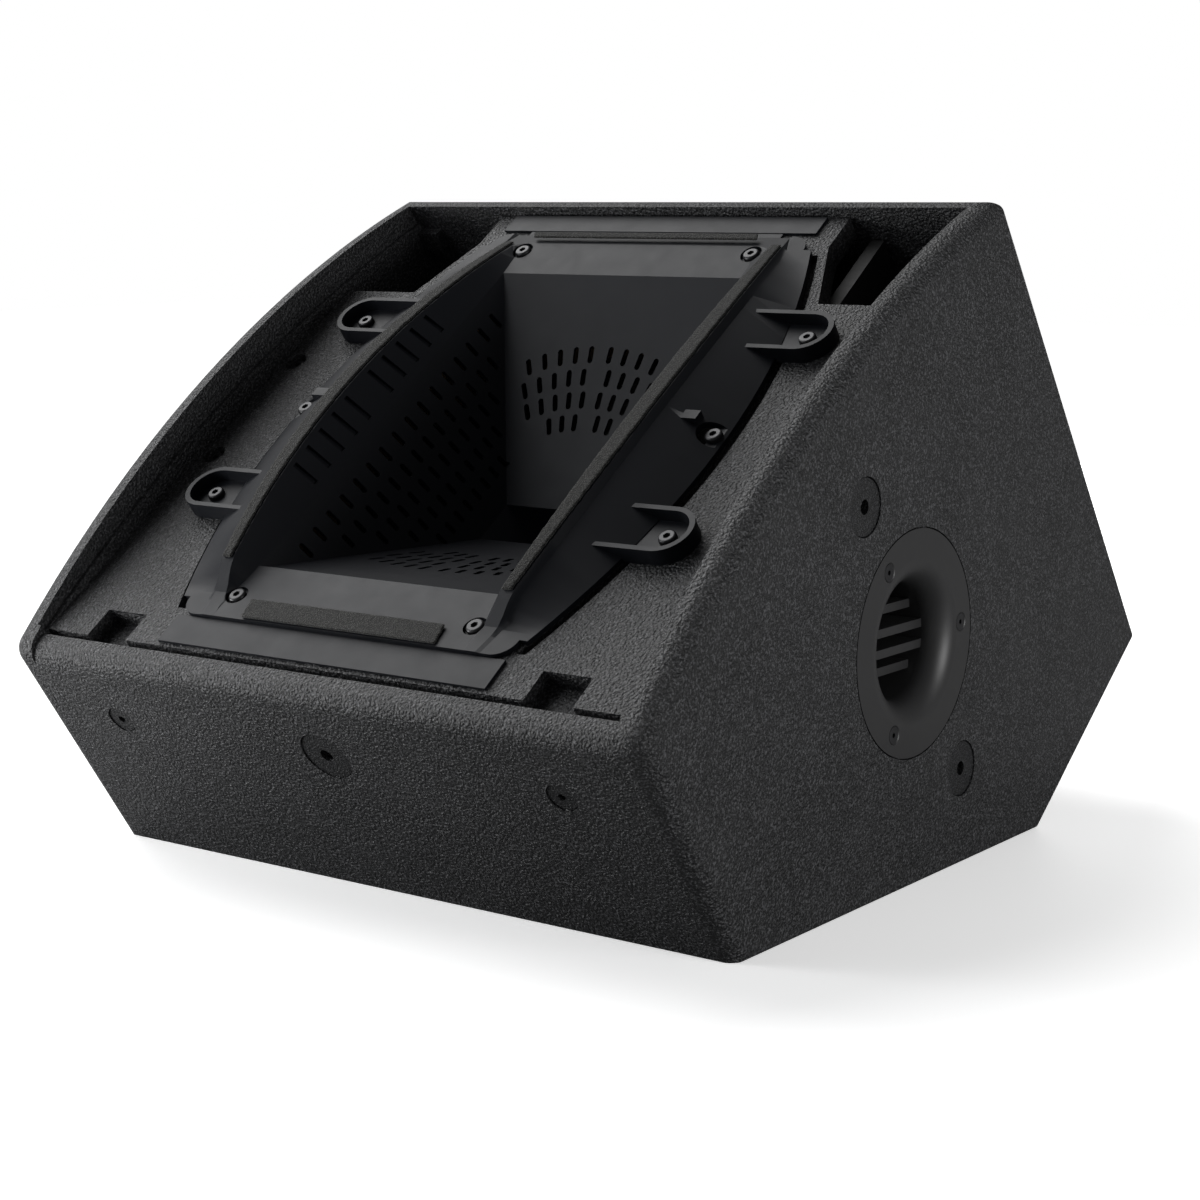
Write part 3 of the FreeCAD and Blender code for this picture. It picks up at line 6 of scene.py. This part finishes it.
import bmesh
import bpy
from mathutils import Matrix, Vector


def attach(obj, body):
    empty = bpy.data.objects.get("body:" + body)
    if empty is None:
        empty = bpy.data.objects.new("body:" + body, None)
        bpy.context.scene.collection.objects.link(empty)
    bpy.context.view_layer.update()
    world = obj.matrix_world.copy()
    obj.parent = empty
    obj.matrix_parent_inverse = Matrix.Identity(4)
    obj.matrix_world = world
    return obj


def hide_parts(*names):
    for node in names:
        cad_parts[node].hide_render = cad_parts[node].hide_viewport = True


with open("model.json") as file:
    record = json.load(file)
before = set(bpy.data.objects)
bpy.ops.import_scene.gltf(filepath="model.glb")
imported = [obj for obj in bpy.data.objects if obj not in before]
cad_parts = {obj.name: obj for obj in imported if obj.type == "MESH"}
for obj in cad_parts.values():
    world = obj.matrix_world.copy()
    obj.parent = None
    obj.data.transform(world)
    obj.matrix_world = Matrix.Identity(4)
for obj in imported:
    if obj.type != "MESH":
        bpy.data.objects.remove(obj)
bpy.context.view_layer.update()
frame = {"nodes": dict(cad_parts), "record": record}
record = frame["record"]
nodes = frame["nodes"]

MM = 0.001
MM_PER_M = 1000.0


# ---------------------------------------------------------------- node helpers
class Shade:
    """A material under construction, with object coordinates in millimetres as its texture space."""

    def __init__(self, name):
        self.material = bpy.data.materials.new(name)
        self.material.use_nodes = True
        self.tree = self.material.node_tree
        self.tree.nodes.clear()
        self.out = self.add("ShaderNodeOutputMaterial")
        self.shader = self.add("ShaderNodeBsdfPrincipled")
        self.link(self.shader.outputs["BSDF"], self.out.inputs["Surface"])
        coords = self.add("ShaderNodeTexCoord")
        scale = self.add("ShaderNodeVectorMath", operation="SCALE")
        scale.inputs["Scale"].default_value = MM_PER_M
        self.link(coords.outputs["Object"], scale.inputs[0])
        self.mm = scale.outputs["Vector"]

    def add(self, kind, **settings):
        node = self.tree.nodes.new(kind)
        for key, value in settings.items():
            setattr(node, key, value)
        return node

    def link(self, source, target):
        self.tree.links.new(source, target)

    def set(self, **values):
        for key, value in values.items():
            self.shader.inputs[key.replace("_", " ")].default_value = value

    def stretched(self, x, y, z):
        node = self.add("ShaderNodeVectorMath", operation="MULTIPLY")
        node.inputs[1].default_value = (x, y, z)
        self.link(self.mm, node.inputs[0])
        return node.outputs["Vector"]

    def noise(self, size, detail=3.0, rough=0.55, vector=None):
        """Noise whose features are about size millimetres across."""
        node = self.add("ShaderNodeTexNoise")
        node.inputs["Scale"].default_value = 1.0 / size
        node.inputs["Detail"].default_value = detail
        node.inputs["Roughness"].default_value = rough
        self.link(vector or self.mm, node.inputs["Vector"])
        return node.outputs["Fac"]

    def cells(self, size, feature="F1", vector=None):
        node = self.add("ShaderNodeTexVoronoi", feature=feature)
        node.inputs["Scale"].default_value = 1.0 / size
        self.link(vector or self.mm, node.inputs["Vector"])
        return node.outputs["Distance"]

    def remap(self, value, low, high, to_low=0.0, to_high=1.0):
        node = self.add("ShaderNodeMapRange")
        limits = {"From Min": low, "From Max": high, "To Min": to_low, "To Max": to_high}
        for socket, number in limits.items():
            node.inputs[socket].default_value = number
        self.link(value, node.inputs["Value"])
        return node.outputs["Result"]

    def math(self, operation, a, b):
        node = self.add("ShaderNodeMath", operation=operation)
        for socket, value in zip(node.inputs, (a, b)):
            if isinstance(value, float):
                socket.default_value = value
            else:
                self.link(value, socket)
        return node.outputs["Value"]

    def mix(self, factor, first, second):
        node = self.add("ShaderNodeMix", data_type="RGBA")
        node.inputs["A"].default_value = (*first, 1.0)
        node.inputs["B"].default_value = (*second, 1.0)
        self.link(factor, node.inputs["Factor"])
        return node.outputs["Result"]

    def colour(self, factor, first, second):
        self.link(self.mix(factor, first, second), self.shader.inputs["Base Color"])

    def roughness(self, factor, low, high):
        self.link(self.remap(factor, 0.0, 1.0, low, high), self.shader.inputs["Roughness"])

    def bump(self, height, depth, strength=1.0):
        """Bump of the given depth in millimetres."""
        node = self.add("ShaderNodeBump")
        node.inputs["Distance"].default_value = depth * MM
        node.inputs["Strength"].default_value = strength
        self.link(height, node.inputs["Height"])
        self.link(node.outputs["Normal"], self.shader.inputs["Normal"])


# ---------------------------------------------------------------- materials
def textured_paint(name, dark, light, grain=1.6, depth=0.9):
    """Sprayed polyurethane: rounded grains, some of them glossier, over slow changes in tone; lighter
    flecks in the colour are painted glints of the grains.
    """
    m = Shade(name)
    grains = m.cells(grain, "SMOOTH_F1")
    fine = m.noise(grain * 0.55, 2.0)
    height = m.math("ADD", m.remap(grains, 0.0, 0.7, 1.0, 0.0), m.math("MULTIPLY", fine, 0.9))
    tone = m.noise(45.0, 2.0)
    # lighter flecks in the base colour: painted glints, standing in for light caught by the grains
    painted_glints = m.remap(m.noise(grain * 0.9, 1.0), 0.53, 0.66)
    m.colour(m.math("ADD", m.math("MULTIPLY", painted_glints, 0.8), m.math("MULTIPLY", tone, 0.2)), dark, light)
    m.roughness(fine, 0.24, 0.68)
    m.bump(height, depth)
    m.set(Specular_IOR_Level=0.4)
    return m.material


def moulded_plastic(name, dark, light, rough=(0.34, 0.48), gloss=0.5, grain=0.5, depth=0.02):
    """Injection moulding with a fine etched grain and faint flow marks."""
    m = Shade(name)
    m.colour(m.noise(60.0, 4.0), dark, light)
    m.roughness(m.noise(14.0, 4.0), *rough)
    m.bump(m.math("ADD", m.noise(grain, 2.0), m.math("MULTIPLY", m.noise(30.0, 2.0), 3.0)), depth)
    m.set(Specular_IOR_Level=gloss)
    return m.material


def foam_material(name, dark, light, pore=0.9):
    m = Shade(name)
    pores = m.cells(pore)
    # colour follows the bump: the low seams where cells meet are darker, painted shade in the foam's
    # hollows
    m.colour(m.remap(pores, 0.1, 0.6), light, dark)
    m.roughness(m.noise(6.0), 0.85, 1.0)
    m.bump(m.math("ADD", m.remap(pores, 0.0, 0.6, 1.0, 0.0), m.noise(5.0, 3.0)), 0.35)
    m.set(Specular_IOR_Level=0.25, Sheen_Weight=0.15, Sheen_Roughness=0.5)
    return m.material


def metal(name, dark, light, rough=(0.25, 0.45), metallic=1.0, depth=0.01):
    m = Shade(name)
    pattern = m.noise(1.2, 4.0, 0.6)
    m.colour(m.noise(9.0, 4.0), dark, light)
    m.roughness(pattern, *rough)
    m.bump(pattern, depth)
    m.set(Metallic=metallic)
    return m.material


def wood_like(name, dark, light, depth=0.05):
    """Grain lines drawn out along one axis."""
    m = Shade(name)
    rings = m.noise(3.2, 5.0, 0.6, m.stretched(0.08, 1.0, 1.0))
    m.colour(m.remap(rings, 0.32, 0.68), dark, light)
    m.roughness(rings, 0.55, 0.8)
    m.bump(rings, depth)
    return m.material


def fibrous(name, dark, light, size=1.2, depth=0.3):
    """Loose or pressed fibres: cloth, paper pulp and wadding."""
    m = Shade(name)
    threads = m.noise(size, 6.0, 0.7, m.stretched(0.35, 1.0, 1.0))
    m.colour(m.remap(threads, 0.35, 0.65), dark, light)
    m.roughness(threads, 0.75, 1.0)
    m.bump(threads, depth)
    m.set(Specular_IOR_Level=0.2)
    return m.material


def winding(name, dark, light):
    m = Shade(name)
    turns = m.add("ShaderNodeTexWave", wave_type="BANDS", bands_direction="Z")
    turns.inputs["Scale"].default_value = 1.2
    turns.inputs["Distortion"].default_value = 0.4
    m.link(m.mm, turns.inputs["Vector"])
    m.colour(turns.outputs["Fac"], dark, light)
    m.roughness(m.noise(3.0), 0.2, 0.4)
    m.bump(turns.outputs["Fac"], 0.2)
    m.set(Metallic=1.0)
    return m.material


def circuit_material(name):
    m = Shade(name)
    tracks = m.cells(9.0, "DISTANCE_TO_EDGE")
    m.colour(m.remap(tracks, 0.04, 0.07), (0.05, 0.30, 0.12), (0.02, 0.12, 0.05))
    m.roughness(m.noise(12.0), 0.25, 0.45)
    m.bump(m.remap(tracks, 0.04, 0.08, 1.0, 0.0), 0.05)
    return m.material


# what each material is made of: its kind, darker and lighter colour, then that kind's own values
FINISHES = {
    # the paint's lighter colour is the colour of its painted glints
    "textured_black_paint": (textured_paint, (0.0036, 0.0038, 0.0043), (0.080, 0.081, 0.086)),
    # port walls: matt black paint like the cabinet's but far darker, partly their own colour and partly
    # painted shade inside the ports
    "port_black": (wood_like, (0.003, 0.003, 0.003), (0.009, 0.009, 0.009)),
    "raw_plywood": (wood_like, (0.40, 0.26, 0.14), (0.62, 0.46, 0.28)),
    "mdf": (fibrous, (0.20, 0.13, 0.08), (0.34, 0.24, 0.15), 0.6, 0.08),
    "horn_plastic": (moulded_plastic, (0.003, 0.0036, 0.0055), (0.005, 0.006, 0.009),
                     (0.44, 0.56), 0.19),
    "handle_plastic": (moulded_plastic, (0.016, 0.016, 0.0165), (0.022, 0.022, 0.023), (0.38, 0.5)),
    # foam: its darker colour is the painted shade in the seams between cells
    "foam": (foam_material, (0.004, 0.004, 0.0035), (0.040, 0.040, 0.036)),
    "wadding": (fibrous, (0.50, 0.49, 0.46), (0.82, 0.81, 0.78), 2.5, 1.2),
    "black_screw_steel": (metal, (0.010, 0.010, 0.011), (0.030, 0.030, 0.033), (0.30, 0.45), 0.5),
    "zinc_steel": (metal, (0.50, 0.51, 0.52), (0.74, 0.74, 0.72), (0.22, 0.42)),
    # the inserts are painted over; here too the lighter colour is that of painted glints
    "insert_steel": (textured_paint, (0.003, 0.0032, 0.0036), (0.026, 0.027, 0.030), 1.2, 0.5),
    "cast_aluminium": (metal, (0.42, 0.43, 0.44), (0.62, 0.63, 0.64), (0.40, 0.60), 1.0, 0.05),
    "black_plate_steel": (metal, (0.012, 0.012, 0.014), (0.024, 0.024, 0.026), (0.35, 0.55), 0.2),
    "ferrite": (metal, (0.030, 0.030, 0.033), (0.060, 0.060, 0.066), (0.45, 0.65), 0.3, 0.03),
    "cone_paper": (fibrous, (0.014, 0.014, 0.014), (0.034, 0.033, 0.032), 1.0, 0.15),
    "surround_cloth": (fibrous, (0.010, 0.010, 0.011), (0.026, 0.026, 0.027), 0.7, 0.10),
    "spider_cloth": (fibrous, (0.40, 0.28, 0.10), (0.62, 0.47, 0.20), 0.8, 0.12),
    "gasket": (fibrous, (0.012, 0.012, 0.012), (0.028, 0.028, 0.028), 0.8, 0.08),
    "former_film": (moulded_plastic, (0.45, 0.25, 0.07), (0.60, 0.36, 0.12), (0.12, 0.25)),
    "coil_copper": (winding, (0.45, 0.16, 0.06), (0.80, 0.38, 0.18)),
    "diaphragm_metal": (metal, (0.50, 0.51, 0.55), (0.68, 0.69, 0.72), (0.18, 0.30)),
    "plug_plastic": (moulded_plastic, (0.020, 0.020, 0.020), (0.035, 0.035, 0.035)),
    "socket_plastic": (moulded_plastic, (0.010, 0.010, 0.011), (0.018, 0.018, 0.020), (0.18, 0.30)),
    "circuit_board": (circuit_material,),
    "copper_winding": (winding, (0.42, 0.15, 0.05), (0.78, 0.36, 0.16)),
    "capacitor_film": (moulded_plastic, (0.60, 0.42, 0.04), (0.74, 0.54, 0.08), (0.15, 0.30)),
    "ceramic": (fibrous, (0.62, 0.61, 0.57), (0.80, 0.79, 0.75), 0.8, 0.1),
    "nylon": (moulded_plastic, (0.62, 0.61, 0.56), (0.74, 0.73, 0.69)),
}
MATERIALS = {name: kind(name, *values) for name, (kind, *values) in FINISHES.items()}
slot_of = {row["node"]: row["material_slot"] for row in record["subparts"]}


def dress(node):
    target = nodes[node]
    for entry in target.material_slots:
        entry.link = "OBJECT"
        entry.material = MATERIALS[slot_of[node]]


for name in nodes:
    dress(name)


# ---------------------------------------------------------------- foam strips and wadding
def baked(piece, settings):
    """Apply modifiers, given as (kind, values), and give back the finished mesh."""
    for kind, values in settings:
        modifier = piece.modifiers.new(kind.lower(), kind)
        for key, value in values.items():
            setattr(modifier, key, value)
    graph = bpy.context.evaluated_depsgraph_get()
    mesh = bpy.data.meshes.new_from_object(piece.evaluated_get(graph), depsgraph=graph)
    piece.modifiers.clear()
    piece.data = mesh
    return mesh


def stand_in(node, suffix):
    """A new object with a copy of the CAD node's mesh, shown in its place."""
    piece = bpy.data.objects.new(node + suffix, nodes[node].data.copy())
    bpy.context.scene.collection.objects.link(piece)
    piece.data.materials.clear()
    piece.data.materials.append(MATERIALS[slot_of[node]])
    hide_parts(node)
    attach(piece, "cabinet")
    return piece


def soft_copy(node, voxel, swell, lump):
    """A foam or wadding piece: remeshed, rounded off and slightly uneven."""
    piece = stand_in(node, "_soft")
    lumps = bpy.data.textures.new(node + "_lumps", "CLOUDS")
    lumps.noise_scale = lump
    mesh = baked(piece, [("REMESH", {"mode": "VOXEL", "voxel_size": voxel}),
                         ("SMOOTH", {"factor": 0.5, "iterations": 2}),
                         ("DISPLACE", {"texture": lumps, "strength": swell, "mid_level": 0.6})])
    mesh.shade_smooth()


for node in ("foam_strip_left", "foam_strip_right", "foam_strip_top", "foam_strip_bottom"):
    soft_copy(node, 0.8 * MM, 0.25 * MM, 4.0 * MM)
for node in ("damping_pad_bottom", "damping_pads_rear"):
    soft_copy(node, 4.0 * MM, 3.0 * MM, 20.0 * MM)


# ---------------------------------------------------------------- horn
WELD = 0.01 * MM
FLAT_WITHIN = 0.3             # faces closer than this to one plane, in degrees, become one face
CREASE = 11.0                 # edges sharper than this, in degrees, stay sharp


def smooth_copy(node, corner):
    """The same shape welded together, so that curved walls built from flat strips shade as curves."""
    piece = stand_in(node, "_smooth")
    mesh = piece.data
    build = bmesh.new()
    build.from_mesh(mesh)
    bmesh.ops.remove_doubles(build, verts=build.verts, dist=WELD)
    bmesh.ops.dissolve_limit(build, angle_limit=math.radians(FLAT_WITHIN),
                             verts=build.verts, edges=build.edges)
    build.to_mesh(mesh)
    build.free()
    mesh.shade_smooth()
    mesh.set_sharp_from_angle(angle=math.radians(corner))
    baked(piece, [("WEIGHTED_NORMAL", {"keep_sharp": True})])


smooth_copy("horn", CREASE)


# ---------------------------------------------------------------- floor, light, camera
FLOOR_GLOW = 0.50             # lifts the floor's shadows, as a lit table does
FLOOR_BOUNCE = 0.30           # how much light the floor throws back at the object


def stage_plane():
    """Wide pale floor."""
    reach = 6.0
    mesh = bpy.data.meshes.new("studio_floor")
    floor = bpy.data.objects.new("studio_floor", mesh)
    bpy.context.scene.collection.objects.link(floor)
    build = bmesh.new()
    corners = ((-reach, -reach, 0), (reach, -reach, 0), (reach, reach, 0), (-reach, reach, 0))
    build.faces.new([build.verts.new(p) for p in corners])
    build.to_mesh(mesh)
    build.free()
    m = Shade("studio_white")
    m.colour(m.noise(400.0, 2.0), (0.90, 0.90, 0.90), (0.93, 0.93, 0.93))
    m.roughness(m.noise(200.0), 0.55, 0.7)
    m.set(Emission_Color=(1.0, 1.0, 1.0, 1.0), Emission_Strength=FLOOR_GLOW)
    dim = m.add("ShaderNodeBsdfDiffuse")
    dim.inputs["Color"].default_value = (FLOOR_BOUNCE, FLOOR_BOUNCE, FLOOR_BOUNCE, 1.0)
    pick = m.add("ShaderNodeMixShader")
    m.link(m.add("ShaderNodeLightPath").outputs["Is Camera Ray"], pick.inputs["Fac"])
    m.link(dim.outputs["BSDF"], pick.inputs[1])
    m.link(m.shader.outputs["BSDF"], pick.inputs[2])
    m.link(pick.outputs["Shader"], m.out.inputs["Surface"])
    mesh.materials.append(m.material)


def area_light(name, place, target, size, power, colour=(1, 1, 1)):
    data = bpy.data.lights.new(name, "AREA")
    data.shape = "RECTANGLE"
    data.size, data.size_y = size
    data.energy = power
    data.color = colour
    lamp = bpy.data.objects.new(name, data)
    bpy.context.scene.collection.objects.link(lamp)
    lamp.location = place
    lamp.visible_camera = False
    lamp.rotation_euler = (Vector(target) - Vector(place)).to_track_quat("-Z", "Y").to_euler()


ROOM_LIGHT = 0.13             # light from all around
BACKDROP = 1.0                # brightness of the backdrop itself


def studio_world():
    """White backdrop; what it gives as light is set apart from how it looks."""
    world = bpy.data.worlds.new("studio")
    bpy.context.scene.world = world
    world.use_nodes = True
    tree = world.node_tree
    ambient = tree.nodes["Background"]
    ambient.inputs["Color"].default_value = (1.0, 1.0, 1.0, 1.0)
    ambient.inputs["Strength"].default_value = ROOM_LIGHT
    seen = tree.nodes.new("ShaderNodeBackground")
    seen.inputs["Color"].default_value = (1.0, 1.0, 1.0, 1.0)
    seen.inputs["Strength"].default_value = BACKDROP
    mix = tree.nodes.new("ShaderNodeMixShader")
    tree.links.new(tree.nodes.new("ShaderNodeLightPath").outputs["Is Camera Ray"], mix.inputs["Fac"])
    tree.links.new(ambient.outputs["Background"], mix.inputs[1])
    tree.links.new(seen.outputs["Background"], mix.inputs[2])
    tree.links.new(mix.outputs["Shader"], tree.nodes["World Output"].inputs["Surface"])


def overhead_light(name, direction, strength, spread):
    """Very large soft light far away, so that the whole floor is lit alike."""
    data = bpy.data.lights.new(name, "SUN")
    data.energy = strength
    data.angle = math.radians(spread)
    lamp = bpy.data.objects.new(name, data)
    bpy.context.scene.collection.objects.link(lamp)
    lamp.rotation_euler = Vector(direction).to_track_quat("Z", "Y").to_euler()


stage_plane()
studio_world()
MIDDLE = (0.0, 0.0, 0.2)
overhead_light("overhead_left", (-0.64, 0.10, 0.76), 2.4, 48.0)
area_light("front_left", (-1.6, -1.9, 1.3), MIDDLE, (1.2, 1.2), 16.0, (0.96, 0.98, 1.0))
area_light("low_left", (-0.66, -0.66, 0.13), (-0.1, -0.2, 0.06), (0.25, 0.25), 5.0)
area_light("rear_fill", (-0.4, 2.2, 0.35), MIDDLE, (1.2, 1.2), 16.0)
area_light("right_fill", (2.2, -0.1, 0.3), MIDDLE, (1.0, 1.0), 29.0)

CAMERA_PLACE = Vector((0.88570, -1.22285, 0.39114))
CAMERA_AZIMUTH = math.radians(36.104)
CAMERA_ELEVATION = math.radians(9.311)
CAMERA_LENS = 73.0            # mm
CAMERA_SENSOR = 36.0

look = Vector((-math.sin(CAMERA_AZIMUTH) * math.cos(CAMERA_ELEVATION),
               math.cos(CAMERA_AZIMUTH) * math.cos(CAMERA_ELEVATION), -math.sin(CAMERA_ELEVATION)))
camera_data = bpy.data.cameras.new("camera")
camera_data.lens = CAMERA_LENS
camera_data.sensor_width = CAMERA_SENSOR
camera_data.clip_start = 0.05
camera_data.clip_end = 50.0
camera = bpy.data.objects.new("camera", camera_data)
camera.location = CAMERA_PLACE
camera.rotation_euler = look.to_track_quat("-Z", "Y").to_euler()
bpy.context.scene.collection.objects.link(camera)
bpy.context.scene.camera = camera
bpy.context.scene.view_settings.view_transform = "Standard"
